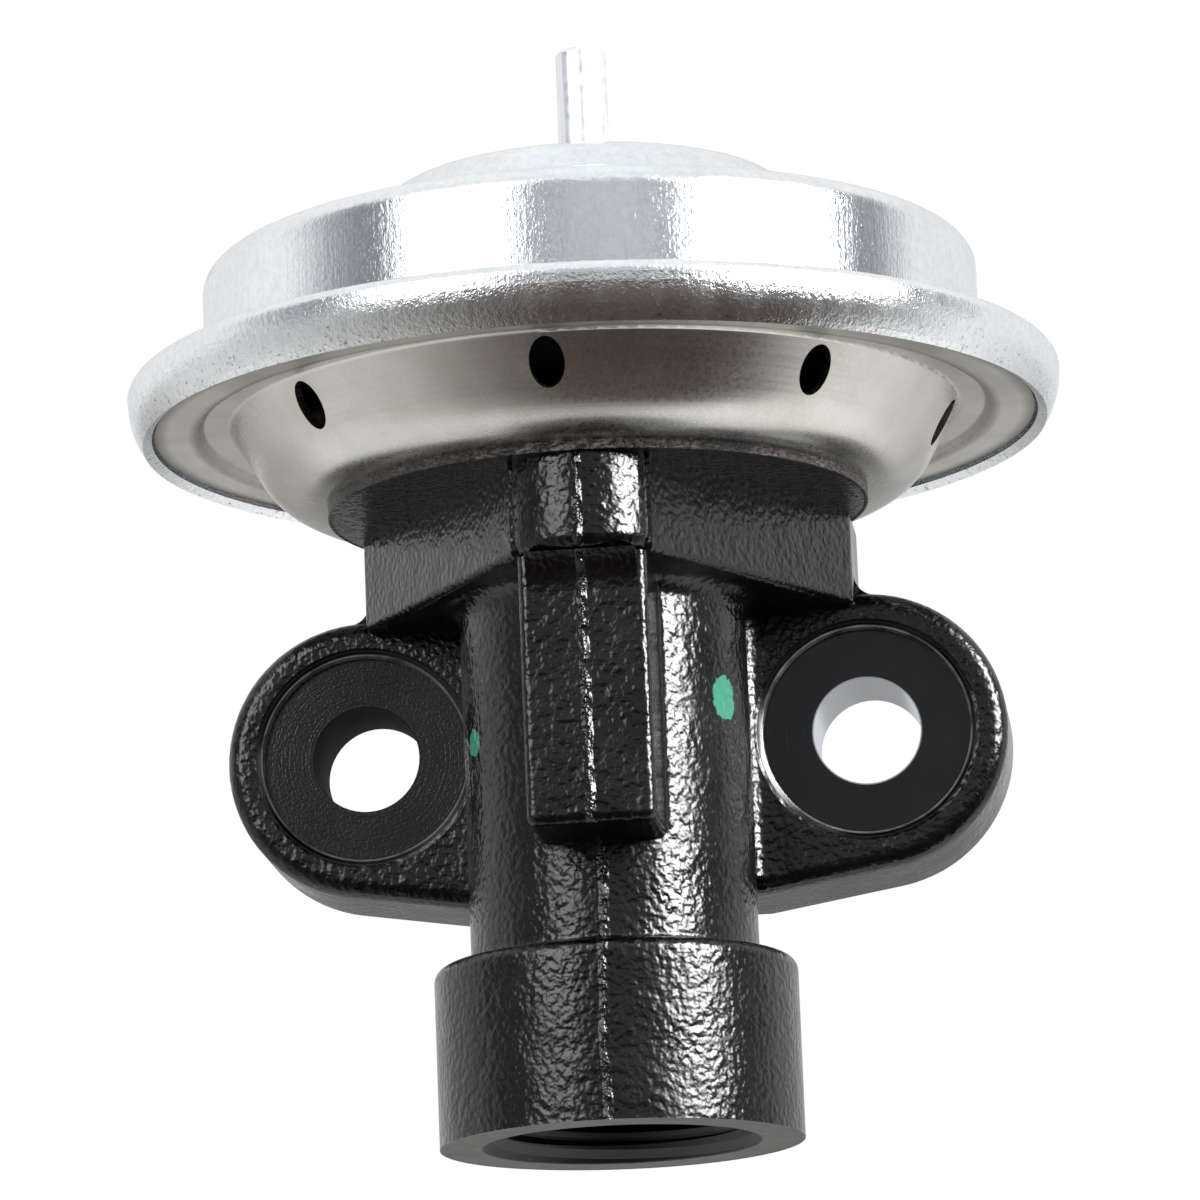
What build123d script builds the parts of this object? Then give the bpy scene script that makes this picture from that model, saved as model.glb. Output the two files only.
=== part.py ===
from build123d import *
import os
from math import atan2, cos, degrees, radians, sin, sqrt

# Vacuum-operated exhaust gas recirculation valve.
#
# Frame: millimetres, +Z up along the valve stem.  The origin is the centre of the tube
# collar's lower face, -Y is the front of the casting, and +Y is the side that bolts on.
# Vacuum over the diaphragm lifts the stem and the pintle off the seat.  Exhaust gas then
# passes from the collar at the bottom to the port in the rear mounting face.

# ------------------------------------------------------------------ driving dimensions
# Casting: tube collar and column
collar_radius = 16.65
collar_height = 16.5
collar_top_round = 1.2
column_radius = 13.2
column_root_round = 0.8
casting_top = 59.1

# Casting: mounting plate with its two bolt ears
mount_face_y = 19.1
ear_thickness = 11.6
bolt_spacing = 47.0
bolt_height = 38.7
bolt_hole_radius = 5.0
ear_radius = 13.1
ear_edge_round = 1.6
ear_root_round = 1.8
ear_shoulder_round = 2.0
spotface_radius = 9.7
spotface_depth = 0.9
plate_bottom = 23.8

# Casting: pedestal under the can, with its front drawn in to a V
pedestal_half_width = 22.9
pedestal_bottom = 50.3
pedestal_side_front_y = 6.6
vee_inner_half_width = 6.4
vee_inner_y = -21.3
pedestal_corner_round = 1.2
pedestal_back_round = 3.0
pedestal_edge_round = 0.8
pedestal_root_round = 2.0

# Casting: nose boss at the tip of the V, and the flat pad below it
rib_offset_x = 0.4
nose_half_width = 6.1
nose_front_y = -24.4
nose_front_radius = 8.2
nose_corner_round = 2.0
nose_bottom_round = 1.4
pad_half_width = 5.8
pad_front_y = -22.0
pad_bottom = 25.8
pad_edge_round = 0.8
pad_bottom_round = 0.9
pad_root_round = 1.0
pad_flare_depth = 1.7
pad_flare_height = 3.4

# Gas passages
thread_minor_radius = 11.2
thread_depth = 14.0
mouth_radius = 12.7
inlet_radius = 7.0
chamber_radius = 8.5
seat_floor = 27.5
outlet_radius = 7.5
outlet_depth = 10.0
outlet_cast_radius = 6.8

# Seat, guide and stem packing
seat_height = 4.5
seat_bore_radius = 5.2
seat_lip = 1.2
guide_bottom = 47.5
guide_nose_height = 1.5
guide_nose_step = 0.6
guide_counterbore_radius = 6.0
seal_height = 3.0
retainer_bore_radius = 3.6
retainer_thickness = 1.1

# Stem, pintle and soot shield
stem_radius = 3.0
stem_spigot_radius = 2.0
stem_spigot_length = 4.0
stem_thread_radius = 2.5
stem_end_chamfer = 0.4
stem_above_nut = 0.9
pintle_rim_height = 0.8
pintle_lead = 0.3
pintle_plug_length = 7.0
pintle_plug_tip_radius = 3.2
pintle_hub_radius = 4.2
pintle_hub_height = 3.6
shield_radius = 7.6
shield_sheet = 0.8
shield_skirt = 2.8

# Base of the can: insulating disc, clamp plate and rivets
insulator_radius = 25.05
insulator_thickness = 1.0
base_hole_radius = 6.5
rivet_circle_radius = 15.0
rivet_count = 3
rivet_shank_radius = 2.0
rivet_head_radius = 3.6
rivet_head_height = 1.8
rivet_head_round = 1.2
rivet_depth = 7.0
clamp_plate_radius = 20.0
clamp_plate_thickness = 1.2

# Lower can: a drawn bowl, a narrow step round its mouth, and a flat flange
lower_sheet = 0.8
bowl_floor_radius = 29.05
bowl_floor_round = 6.0
bowl_top_round = 0.9
recess_width = 3.1
step_run = 0.5
step_height = 0.8
step_round = 0.5
flange_underside = 67.2
lower_flange_width = 4.1
vent_count = 8
vent_width = 3.2
vent_height = 4.8
vent_center_z = 65.6
vent_first_angle = -91.7

# Upper can: plateau, shoulder, wall and the crimped rim
upper_sheet = 1.0
plateau_top = 89.8
plateau_radius = 18.3
plateau_round = 2.6
plateau_foot_radius = 22.5
plateau_foot_round = 4.0
shoulder_top = 82.7
shoulder_round = 1.6
wall_foot_round = 1.0
rim_radius = 43.4
rim_ledge_width = 7.3
rim_top = 71.8
rim_top_round = 0.7
rim_knee_inset = 0.25
rim_knee_z = 68.3
rim_knee_round = 6.0
lip_inset = 1.8
lip_over_flange = 0.7
lip_z = 66.6

# Vacuum nipple
nipple_radius = 2.38
nipple_neck_radius = 2.1
nipple_bore_radius = 1.55
nipple_top = 103.6
nipple_tip_chamfer = 0.4
nipple_flare_radius = 4.0
nipple_flare_thickness = 0.9
braze_height = 0.6
braze_width = 0.7

# Diaphragm pack on the stem's threaded end
pack_bottom = 64.6
shoulder_washer_thickness = 0.8
pack_washer_radius = 7.0
piston_sheet = 0.9
lower_piston_lip = 1.2
lower_piston_inset = 1.6
piston_cup_height = 7.0
piston_corner_round = 1.6
clamp_washer_thickness = 1.0
nut_across_flats = 9.0
nut_height = 3.2
rubber = 0.8
diaphragm_arch_rise = 2.0
diaphragm_arch_flat = 0.2
convolution_width = 9.5
rubber_bead_width = 2.5
rubber_bead_inset = 0.2

# Return spring and its upper seat
spring_radius = 11.0
spring_wire = 1.7
spring_turns = 6.5
spring_seat_thickness = 1.0
spring_seat_inner_radius = 7.5
spring_seat_outer_radius = 14.5
spring_seat_lip = 2.0

# Travel and clearances
lift = 5.5
stop_margin = 0.3
seat_gap = 0.15
guide_clearance = 0.05
shank_clearance = 0.05
plug_gap = 0.3
rubber_gap = 0.3

# ------------------------------------------------------------------------ derived sizes
ear_front_y = mount_face_y - ear_thickness
insulator_top = casting_top + insulator_thickness
bowl_inside_floor = insulator_top + lower_sheet
plate_top = bowl_inside_floor + clamp_plate_thickness
flange_top = flange_underside + lower_sheet
rim_underside = rim_top - upper_sheet
plateau_underside = plateau_top - upper_sheet
lip_radius = rim_radius - lip_inset
lower_flange_radius = lip_radius - lip_over_flange
step_radius = lower_flange_radius - lower_flange_width
bowl_top_radius = step_radius - recess_width
can_radius = rim_radius - rim_ledge_width
can_inside_radius = can_radius - upper_sheet
piston_cup_radius = can_inside_radius - convolution_width
lower_piston_radius = piston_cup_radius - lower_piston_inset
rubber_bead_outer_radius = lower_flange_radius - rubber_bead_inset
rubber_bead_inner_radius = rubber_bead_outer_radius - rubber_bead_width
braze_top = plateau_top + braze_height
seat_top = seat_floor + seat_height
guide_top = casting_top - retainer_thickness
seal_bottom = guide_top - seal_height
shield_top = guide_bottom - lift - stop_margin
lower_piston_bottom = pack_bottom + shoulder_washer_thickness
diaphragm_bottom = lower_piston_bottom + piston_sheet
upper_piston_bottom = diaphragm_bottom + rubber
clamp_washer_bottom = upper_piston_bottom + piston_sheet
nut_bottom = clamp_washer_bottom + clamp_washer_thickness
stem_top = nut_bottom + nut_height + stem_above_nut
spring_bottom = upper_piston_bottom + piston_sheet
spring_seat_bottom = plateau_underside - spring_seat_thickness

os.makedirs("parts", exist_ok=True)


def write(builder, name):
    """Label a finished piece and write it as its own STEP file."""
    builder.part.label = name
    export_step(builder.part, f"parts/{name}.step")


def near(value, target, reach=0.02):
    """True where a measured place lies on a named one."""
    return abs(value - target) < reach


def root_round(outline, center, radius):
    """The metal that fills an inside corner, up to the circle that rounds it."""
    with BuildSketch(mode=Mode.PRIVATE) as corner:
        with BuildLine():
            Polyline(*outline, close=True)
        make_face()
        with Locations(center):
            Circle(radius, mode=Mode.SUBTRACT)
    return corner.sketch


def turned(name, outline):
    """A turned piece from its half outline, given as (radius, height) points."""
    with BuildPart() as piece:
        with BuildSketch(Plane.XZ):
            with BuildLine():
                Polyline(*outline, close=True)
            make_face()
        revolve(axis=Axis.Z)
    write(piece, name)


def washer(name, inner_radius, outer_radius, bottom, thickness):
    """A flat ring that lies at a height."""
    with BuildPart() as piece:
        with BuildSketch(Plane.XY.offset(bottom)):
            Circle(outer_radius)
            Circle(inner_radius, mode=Mode.SUBTRACT)
        extrude(amount=thickness)
    write(piece, name)


def riveted_plate(name, outer_radius, bottom, thickness):
    """A flat plate with the stem's hole and the rivets' holes."""
    with BuildPart() as piece:
        with BuildSketch(Plane.XY.offset(bottom)):
            Circle(outer_radius)
            Circle(base_hole_radius, mode=Mode.SUBTRACT)
            with rivet_places():
                Circle(rivet_shank_radius + shank_clearance, mode=Mode.SUBTRACT)
        extrude(amount=thickness)
    write(piece, name)


def rivet_places():
    """The rivets' circle, with its first rivet under the nose boss."""
    return PolarLocations(rivet_circle_radius, rivet_count, start_angle=-90)


# -------------------------------------------------------------------------- valve body
# Column and tube collar: one turned outline, flared where the column meets the pedestal
with BuildPart() as column:
    with BuildSketch(Plane.XZ) as outline:
        with BuildLine():
            Polyline(
                (0, 0),
                (collar_radius, 0),
                (collar_radius, collar_height),
                (column_radius, collar_height),
                (column_radius, pedestal_bottom),
                (0, pedestal_bottom),
                close=True,
            )
        make_face()
        collar_corners = outline.vertices().filter_by(lambda v: near(v.Y, collar_height))
        fillet(collar_corners.sort_by(Axis.X)[-1], collar_top_round)
        collar_corners = outline.vertices().filter_by(lambda v: near(v.Y, collar_height))
        fillet(collar_corners.sort_by(Axis.X)[0], column_root_round)
        flare_radius = column_radius + pedestal_root_round
        add(
            root_round(
                [
                    (0, pedestal_bottom),
                    (flare_radius, pedestal_bottom),
                    (flare_radius, pedestal_bottom - pedestal_root_round),
                    (0, pedestal_bottom - pedestal_root_round),
                ],
                (flare_radius, pedestal_bottom - pedestal_root_round),
                pedestal_root_round,
            )
        )
    revolve(axis=Axis.Z)

# Pedestal: a block whose front is drawn in to a V
with BuildPart() as pedestal:
    with BuildSketch(Plane.XY.offset(pedestal_bottom)) as pedestal_plan:
        with BuildLine():
            Polyline(
                (-pedestal_half_width, mount_face_y),
                (-pedestal_half_width, pedestal_side_front_y),
                (rib_offset_x - vee_inner_half_width, vee_inner_y),
                (rib_offset_x + vee_inner_half_width, vee_inner_y),
                (pedestal_half_width, pedestal_side_front_y),
                (pedestal_half_width, mount_face_y),
                close=True,
            )
        make_face()
        side_corners = pedestal_plan.vertices().filter_by(lambda v: near(v.Y, pedestal_side_front_y))
        fillet(side_corners, pedestal_corner_round)
        fillet(pedestal_plan.vertices().group_by(Axis.Y)[-1], pedestal_back_round)
    extrude(amount=casting_top - pedestal_bottom)
    underside_edges = pedestal.faces().sort_by(Axis.Z)[0].edges()
    fillet(underside_edges.filter_by(lambda e: e.center().Y < pedestal_side_front_y), pedestal_edge_round)

# Nose boss at the tip of the V, its front an arc
with BuildPart() as nose:
    with BuildSketch(Plane.XY.offset(pedestal_bottom)) as nose_plan:
        with Locations((rib_offset_x, nose_front_y + nose_front_radius)):
            Circle(nose_front_radius)
            Rectangle(2 * nose_half_width, 2 * nose_front_radius, mode=Mode.INTERSECT)
        fillet(nose_plan.vertices().group_by(Axis.Y)[0], nose_corner_round)
    extrude(amount=casting_top - pedestal_bottom)
    fillet(nose.faces().sort_by(Axis.Z)[0].edges(), nose_bottom_round)

# Flat pad on the column's front, curving out under the nose at its top
with BuildPart() as pad:
    with BuildSketch(Plane.XY.offset(pad_bottom)):
        with Locations((rib_offset_x, pad_front_y / 2)):
            Rectangle(2 * pad_half_width, -pad_front_y)
    extrude(amount=pedestal_bottom - pad_bottom)
    fillet(pad.edges().filter_by(Axis.Z).group_by(Axis.Y)[0], pad_edge_round)
    fillet(pad.faces().sort_by(Axis.Z)[0].edges(), pad_bottom_round)
    with BuildSketch(Plane.YZ.offset(rib_offset_x)):
        with BuildLine():
            curve_start = (pad_front_y, pedestal_bottom - pad_flare_height)
            curve_end = (pad_front_y - pad_flare_depth, pedestal_bottom)
            TangentArc(curve_start, curve_end, tangent=(0, 1))
            Polyline(curve_end, (vee_inner_y + pad_edge_round, pedestal_bottom))
            Polyline(
                (vee_inner_y + pad_edge_round, pedestal_bottom),
                (vee_inner_y + pad_edge_round, pedestal_bottom - pad_flare_height),
                curve_start,
            )
        make_face()
    extrude(amount=pad_half_width - pad_edge_round, both=True)

# Mounting plate: two round ears joined behind the column
with BuildPart() as ears:
    with BuildSketch(Plane.XZ.offset(-mount_face_y)):
        with Locations((-bolt_spacing / 2, bolt_height), (bolt_spacing / 2, bolt_height)):
            Circle(ear_radius)
        with Locations((0, (plate_bottom + bolt_height) / 2)):
            Rectangle(2 * column_radius, bolt_height - plate_bottom)
        make_hull()
    extrude(amount=ear_thickness)
    fillet(ears.faces().sort_by(Axis.Y)[0].edges(), ear_edge_round)

with BuildPart() as valve_body:
    add(column.part)
    add(pedestal.part)
    add(nose.part)
    add(pad.part)
    add(ears.part)

    # Inside corners between the ears, the pad and the column, seen from above
    ear_root_y = ear_front_y - ear_root_round
    ear_root_x = sqrt((column_radius + ear_root_round) ** 2 - ear_root_y**2)
    with BuildSketch(Plane.XY.offset(plate_bottom + ear_edge_round)):
        add(
            root_round(
                [(0, 0), (ear_root_x, ear_root_y), (ear_root_x, ear_front_y), (0, ear_front_y)],
                (ear_root_x, ear_root_y),
                ear_root_round,
            )
        )
        mirror(about=Plane.YZ)
    extrude(amount=pedestal_bottom - plate_bottom - ear_edge_round)
    with BuildSketch(Plane.XY.offset(pad_bottom + pad_bottom_round)):
        for side in (-1, 1):
            pad_side_x = rib_offset_x + side * pad_half_width
            pad_root_x = pad_side_x + side * pad_root_round
            pad_root_y = -sqrt((column_radius + pad_root_round) ** 2 - pad_root_x**2)
            add(
                root_round(
                    [(rib_offset_x, 0), (pad_root_x, pad_root_y), (pad_side_x, pad_root_y)],
                    (pad_root_x, pad_root_y),
                    pad_root_round,
                )
            )
    extrude(amount=pedestal_bottom - pad_bottom - pad_bottom_round)

    # Inside corners between the ears' tops and the pedestal's sides
    shoulder_x = pedestal_half_width + ear_shoulder_round
    shoulder_rise = sqrt(
        (ear_radius + ear_shoulder_round) ** 2 - (shoulder_x - bolt_spacing / 2) ** 2
    )
    shoulder_z = bolt_height + shoulder_rise
    with BuildSketch(Plane.XZ.offset(-mount_face_y)):
        add(
            root_round(
                [
                    (pedestal_half_width - ear_shoulder_round, bolt_height),
                    (bolt_spacing / 2, bolt_height),
                    (shoulder_x, shoulder_z),
                    (pedestal_half_width - ear_shoulder_round, shoulder_z),
                ],
                (shoulder_x, shoulder_z),
                ear_shoulder_round,
            )
        )
        mirror(about=Plane.YZ)
    extrude(amount=ear_thickness - ear_edge_round)

    # Tube port: a threaded collar at the minor diameter, then the inlet up to the seat
    with BuildSketch(Plane.XZ):
        with BuildLine():
            Polyline(
                (0, 0),
                (mouth_radius, 0),
                (thread_minor_radius, mouth_radius - thread_minor_radius),
                (thread_minor_radius, thread_depth),
                (inlet_radius, thread_depth + (thread_minor_radius - inlet_radius) / 2),
                (inlet_radius, seat_floor),
                (chamber_radius, seat_floor),
                (chamber_radius, casting_top),
                (0, casting_top),
                close=True,
            )
        make_face()
    revolve(axis=Axis.Z, mode=Mode.SUBTRACT)
    # Outlet: a machined mouth in the mounting face, then the cast passage to the chamber.
    # Beside it are the bolt holes with their spotfaces
    with BuildSketch(Plane.XZ.offset(-mount_face_y)):
        with Locations((0, bolt_height)):
            Circle(outlet_radius)
    extrude(amount=outlet_depth, mode=Mode.SUBTRACT)
    with BuildSketch(Plane.XZ.offset(-mount_face_y)):
        with Locations((0, bolt_height)):
            Circle(outlet_cast_radius)
    extrude(amount=mount_face_y, mode=Mode.SUBTRACT)
    with BuildSketch(Plane.XZ.offset(-mount_face_y)):
        with Locations((-bolt_spacing / 2, bolt_height), (bolt_spacing / 2, bolt_height)):
            Circle(bolt_hole_radius)
    extrude(amount=2 * mount_face_y, mode=Mode.SUBTRACT)
    with BuildSketch(Plane.XZ.offset(-(ear_front_y + spotface_depth))):
        with Locations((-bolt_spacing / 2, bolt_height), (bolt_spacing / 2, bolt_height)):
            Circle(spotface_radius)
    extrude(amount=spotface_depth, mode=Mode.SUBTRACT)
    # Rivet holes in the top
    with BuildSketch(Plane.XY.offset(casting_top)):
        with rivet_places():
            Circle(rivet_shank_radius + shank_clearance)
    extrude(amount=-rivet_depth, mode=Mode.SUBTRACT)
write(valve_body, "valve_body")

# ------------------------------------------------------- seat, guide and stem packing
turned(
    "valve_seat",
    [
        (seat_bore_radius, seat_floor),
        (chamber_radius, seat_floor),
        (chamber_radius, seat_top),
        (seat_bore_radius + seat_lip, seat_top),
        (seat_bore_radius, seat_top - seat_lip),
    ],
)
stem_hole_radius = stem_radius + guide_clearance
guide_nose_radius = chamber_radius - guide_nose_step
turned(
    "guide_bushing",
    [
        (stem_hole_radius, guide_bottom),
        (guide_nose_radius, guide_bottom),
        (guide_nose_radius, guide_bottom + guide_nose_height),
        (chamber_radius, guide_bottom + guide_nose_height + guide_nose_step),
        (chamber_radius, guide_top),
        (guide_counterbore_radius, guide_top),
        (guide_counterbore_radius, seal_bottom),
        (stem_hole_radius, seal_bottom),
    ],
)
washer("stem_seal", stem_hole_radius, guide_counterbore_radius, seal_bottom, seal_height)
washer("seal_retainer", retainer_bore_radius, chamber_radius, guide_top, retainer_thickness)

# ------------------------------------------------------------------ stem and its pintle
# The pintle's 45 degree cone stops a hair above the seat's 45 degree lip.  Below it a
# plug tapers down the seat's bore, so that the opening grows slowly with the lift.
cone_offset = seat_gap * sqrt(2)
cone_low_radius = seat_bore_radius - plug_gap
cone_low = seat_top - seat_lip - plug_gap + cone_offset
cone_high_radius = seat_bore_radius + seat_lip + pintle_lead
cone_high = cone_low + cone_high_radius - cone_low_radius
pintle_top = cone_high + pintle_rim_height
hub_foot = pintle_top + (cone_high_radius - pintle_hub_radius) / 2
hub_top = pintle_top + pintle_hub_height
spigot_end = hub_top - stem_spigot_length
turned(
    "pintle",
    [
        (0, cone_low - pintle_plug_length),
        (pintle_plug_tip_radius, cone_low - pintle_plug_length),
        (cone_low_radius, cone_low),
        (cone_high_radius, cone_high),
        (cone_high_radius, pintle_top),
        (pintle_hub_radius, hub_foot),
        (pintle_hub_radius, hub_top),
        (stem_spigot_radius, hub_top),
        (stem_spigot_radius, spigot_end),
        (0, spigot_end),
    ],
)
turned(
    "valve_stem",
    [
        (0, spigot_end),
        (stem_spigot_radius, spigot_end),
        (stem_spigot_radius, hub_top),
        (stem_radius, hub_top),
        (stem_radius, pack_bottom),
        (stem_thread_radius, pack_bottom),
        (stem_thread_radius, stem_top - stem_end_chamfer),
        (stem_thread_radius - stem_end_chamfer, stem_top),
        (0, stem_top),
    ],
)
# Cup washer that keeps soot off the guide, and meets the guide at the end of the lift
turned(
    "soot_shield",
    [
        (stem_radius, shield_top - shield_sheet),
        (shield_radius - shield_sheet, shield_top - shield_sheet),
        (shield_radius - shield_sheet, shield_top - shield_skirt),
        (shield_radius, shield_top - shield_skirt),
        (shield_radius, shield_top - shield_sheet / 2),
        (shield_radius - shield_sheet / 2, shield_top),
        (stem_radius, shield_top),
    ],
)

# --------------------------------------------------------------------- base of the can
riveted_plate("base_insulator", insulator_radius, casting_top, insulator_thickness)
riveted_plate("clamp_plate", clamp_plate_radius, bowl_inside_floor, clamp_plate_thickness)

with BuildPart() as base_rivets:
    with BuildSketch(Plane.XY.offset(casting_top - rivet_depth)):
        with rivet_places():
            Circle(rivet_shank_radius)
    extrude(amount=plate_top - casting_top + rivet_depth)
    with BuildSketch(Plane.XY.offset(plate_top)):
        with rivet_places():
            Circle(rivet_head_radius)
    extrude(amount=rivet_head_height)
    fillet(base_rivets.faces().group_by(Axis.Z)[-1].edges(), rivet_head_round)
write(base_rivets, "base_rivets")

# --------------------------------------------------------------------------- lower can
with BuildPart() as lower_can:
    lower_half = lower_sheet / 2
    floor_line = insulator_top + lower_half
    flange_line = flange_underside + lower_half
    mouth_line = flange_line + step_height
    with BuildSketch(Plane.XZ):
        with BuildLine():
            FilletPolyline(
                (base_hole_radius, floor_line),
                (bowl_floor_radius, floor_line),
                (bowl_top_radius, mouth_line),
                (step_radius - step_run / 2, mouth_line),
                (step_radius + step_run / 2, flange_line),
                (lower_flange_radius, flange_line),
                radius=[bowl_floor_round, bowl_top_round, step_round, step_round],
            )
        trace(line_width=lower_sheet)
    revolve(axis=Axis.Z)
    with BuildSketch(Plane.XY.offset(insulator_top)):
        with rivet_places():
            Circle(rivet_shank_radius + shank_clearance)
    extrude(amount=lower_sheet, mode=Mode.SUBTRACT)
    # Vent holes, punched square to the bowl's sloping wall
    wall_run = bowl_top_radius - bowl_floor_radius
    wall_rise = mouth_line - floor_line
    wall_tilt = atan2(wall_run, wall_rise)
    vent_center_radius = bowl_floor_radius + wall_run * (vent_center_z - floor_line) / wall_rise
    for vent in range(vent_count):
        vent_angle = radians(vent_first_angle + vent * 360 / vent_count)
        outward = Vector(cos(vent_angle), sin(vent_angle), 0)
        wall_normal = outward * cos(wall_tilt) - Vector(0, 0, sin(wall_tilt))
        vent_center = outward * vent_center_radius + Vector(0, 0, vent_center_z)
        with BuildSketch(Plane(vent_center, x_dir=outward.cross(Vector(0, 0, 1)), z_dir=wall_normal)):
            Ellipse(vent_width / 2, vent_height / 2)
        extrude(amount=2 * lower_sheet, both=True, mode=Mode.SUBTRACT)
write(lower_can, "lower_can")

# --------------------------------------------------------------------------- upper can
with BuildPart() as upper_can:
    upper_half = upper_sheet / 2
    wall_line = can_radius - upper_half
    rim_line = rim_radius - upper_half
    with BuildSketch(Plane.XZ):
        with BuildLine():
            FilletPolyline(
                (nipple_neck_radius, plateau_top - upper_half),
                (plateau_radius, plateau_top - upper_half),
                (plateau_foot_radius, shoulder_top - upper_half),
                (wall_line, shoulder_top - upper_half),
                (wall_line, rim_top - upper_half),
                (rim_line, rim_top - upper_half),
                (rim_line - rim_knee_inset, rim_knee_z),
                (lip_radius, lip_z),
                radius=[
                    plateau_round,
                    plateau_foot_round,
                    shoulder_round,
                    wall_foot_round,
                    rim_top_round,
                    rim_knee_round,
                ],
            )
        trace(line_width=upper_sheet)
    revolve(axis=Axis.Z)
write(upper_can, "upper_can")

# ---------------------------------------------------------------------- vacuum nipple
turned(
    "vacuum_nipple",
    [
        (nipple_bore_radius, plateau_underside - nipple_flare_thickness),
        (nipple_flare_radius, plateau_underside - nipple_flare_thickness),
        (nipple_flare_radius, plateau_underside),
        (nipple_neck_radius, plateau_underside),
        (nipple_neck_radius, braze_top),
        (nipple_radius, braze_top),
        (nipple_radius, nipple_top - nipple_tip_chamfer),
        (nipple_radius - nipple_tip_chamfer, nipple_top),
        (nipple_bore_radius, nipple_top),
    ],
)
turned(
    "nipple_braze",
    [
        (nipple_neck_radius, plateau_top),
        (nipple_radius + braze_width, plateau_top),
        (nipple_radius, braze_top),
        (nipple_neck_radius, braze_top),
    ],
)

# ----------------------------------------------------- diaphragm pack on the stem's top
washer(
    "shoulder_washer", stem_thread_radius, pack_washer_radius, pack_bottom, shoulder_washer_thickness
)
turned(
    "lower_piston",
    [
        (stem_thread_radius, lower_piston_bottom),
        (lower_piston_radius - piston_sheet, lower_piston_bottom),
        (lower_piston_radius - piston_sheet, lower_piston_bottom - lower_piston_lip),
        (lower_piston_radius, lower_piston_bottom - lower_piston_lip),
        (lower_piston_radius, diaphragm_bottom),
        (stem_thread_radius, diaphragm_bottom),
    ],
)
with BuildPart() as upper_piston:
    cup_line = piston_cup_radius - piston_sheet / 2
    cup_floor_line = upper_piston_bottom + piston_sheet / 2
    with BuildSketch(Plane.XZ):
        with BuildLine():
            FilletPolyline(
                (stem_thread_radius, cup_floor_line),
                (cup_line, cup_floor_line),
                (cup_line, upper_piston_bottom + piston_cup_height),
                radius=piston_corner_round,
            )
        trace(line_width=piston_sheet)
    revolve(axis=Axis.Z)
write(upper_piston, "upper_piston")
washer(
    "clamp_washer", stem_thread_radius, pack_washer_radius, clamp_washer_bottom, clamp_washer_thickness
)
with BuildPart() as stem_nut:
    with BuildSketch(Plane.XY.offset(nut_bottom)):
        RegularPolygon(nut_across_flats / 2, side_count=6, major_radius=False)
        Circle(stem_thread_radius, mode=Mode.SUBTRACT)
    extrude(amount=nut_height)
write(stem_nut, "stem_nut")

# Diaphragm: flat under the cup, up its side, over in a half round and out to the bead
with BuildPart() as diaphragm:
    rubber_line = diaphragm_bottom + rubber / 2
    inner_leg = piston_cup_radius + rubber / 2 + rubber_gap
    outer_leg = can_inside_radius - rubber / 2 - rubber_gap
    arch_top = upper_piston_bottom + piston_cup_height + diaphragm_arch_rise
    arch_radius = (outer_leg - inner_leg - diaphragm_arch_flat) / 2
    edge_line = (flange_top + rim_underside) / 2
    with BuildSketch(Plane.XZ):
        with BuildLine():
            FilletPolyline(
                (stem_thread_radius, rubber_line),
                (inner_leg, rubber_line),
                (inner_leg, arch_top),
                (outer_leg, arch_top),
                (outer_leg, edge_line),
                (rubber_bead_outer_radius, edge_line),
                radius=[
                    piston_corner_round + rubber_gap + rubber / 2,
                    arch_radius,
                    arch_radius,
                    rubber,
                ],
            )
        trace(line_width=rubber)
        with Locations(((rubber_bead_inner_radius + rubber_bead_outer_radius) / 2, edge_line)):
            Rectangle(rubber_bead_outer_radius - rubber_bead_inner_radius, rim_underside - flange_top)
    revolve(axis=Axis.Z)
write(diaphragm, "diaphragm")

# -------------------------------------------------------------- return spring and seat
turned(
    "spring_seat",
    [
        (spring_seat_inner_radius, spring_seat_bottom - spring_seat_lip),
        (spring_seat_inner_radius + spring_seat_thickness, spring_seat_bottom - spring_seat_lip),
        (spring_seat_inner_radius + spring_seat_thickness, spring_seat_bottom),
        (spring_seat_outer_radius, spring_seat_bottom),
        (spring_seat_outer_radius, plateau_underside),
        (spring_seat_inner_radius, plateau_underside),
    ],
)
with BuildPart() as return_spring:
    # Both ends are ground flat, so the coil runs half a wire past each seat
    spring_height = spring_seat_bottom - spring_bottom
    spring_pitch = spring_height / spring_turns
    with BuildLine():
        Helix(spring_pitch, spring_height, spring_radius, center=(0, 0, spring_bottom))
    with BuildSketch(Plane(origin=(spring_radius, 0, spring_bottom), x_dir=(1, 0, 0), z_dir=(0, 1, 0))):
        Circle(spring_wire / 2)
    sweep(is_frenet=True)
    with Locations((0, 0, (spring_bottom + spring_seat_bottom) / 2)):
        Box(4 * spring_radius, 4 * spring_radius, spring_height, mode=Mode.INTERSECT)
write(return_spring, "return_spring")
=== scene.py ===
# %% [markdown]
# # Exhaust gas recirculation valve
# A cast body carries a threaded collar below and two bolt ears at its sides. A crimped
# sheet-steel can sits on top of it, with a rubber diaphragm and a spring inside, and a
# vacuum nipple in its crown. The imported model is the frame: its nodes already have the
# right shape and size, so this script gives them their finishes, adds the pieces that
# bend or that are too fine for a solid, and sets up the studio.

# %% Load the frame
from math import cos, pi, radians, sin

import bmesh
import bpy
from mathutils import Matrix, Vector


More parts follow.
